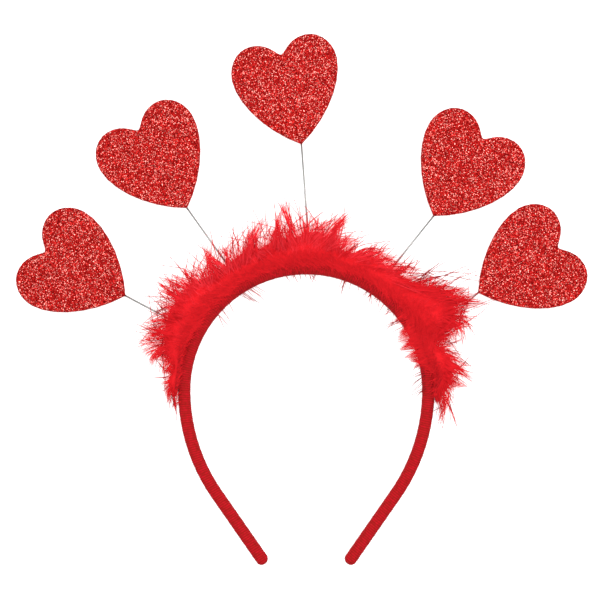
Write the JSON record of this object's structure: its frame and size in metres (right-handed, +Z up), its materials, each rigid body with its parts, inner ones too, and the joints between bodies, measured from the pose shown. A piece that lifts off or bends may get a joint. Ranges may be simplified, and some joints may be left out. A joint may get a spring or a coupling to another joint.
{
  "type": "heart headband",
  "caption": "Costume headband: a ribbon-wound horseshoe band with a fluffy feather trim over its crown and glitter hearts on wire stems fanned above it.",
  "frame": {"origin": "on the surface that the headband lies on, under the middle of its overall width and height", "axes": "+X across the headband from the left heart to the right one, +Y from the leg tips towards the crown and the top heart, +Z up off the surface from the band's back edge to its front edge"},
  "size_m": [0.2858, 0.2654, 0.0244],
  "materials": {
    "ribbon": "matte red ribbed ribbon, wound round the band",
    "down": "soft dyed red marabou down",
    "wire": "bright drawn steel wire",
    "glitter": "red craft foam faced with red glitter"
  },
  "bodies": {
    "root": {"band": "ribbon", "feather_trim": "down", "stem_1": "wire", "stem_2": "wire", "stem_3": "wire", "stem_4": "wire", "stem_5": "wire", "heart_1": "glitter", "heart_2": "glitter", "heart_3": "glitter", "heart_4": "glitter", "heart_5": "glitter"}
  },
  "joints": []
}
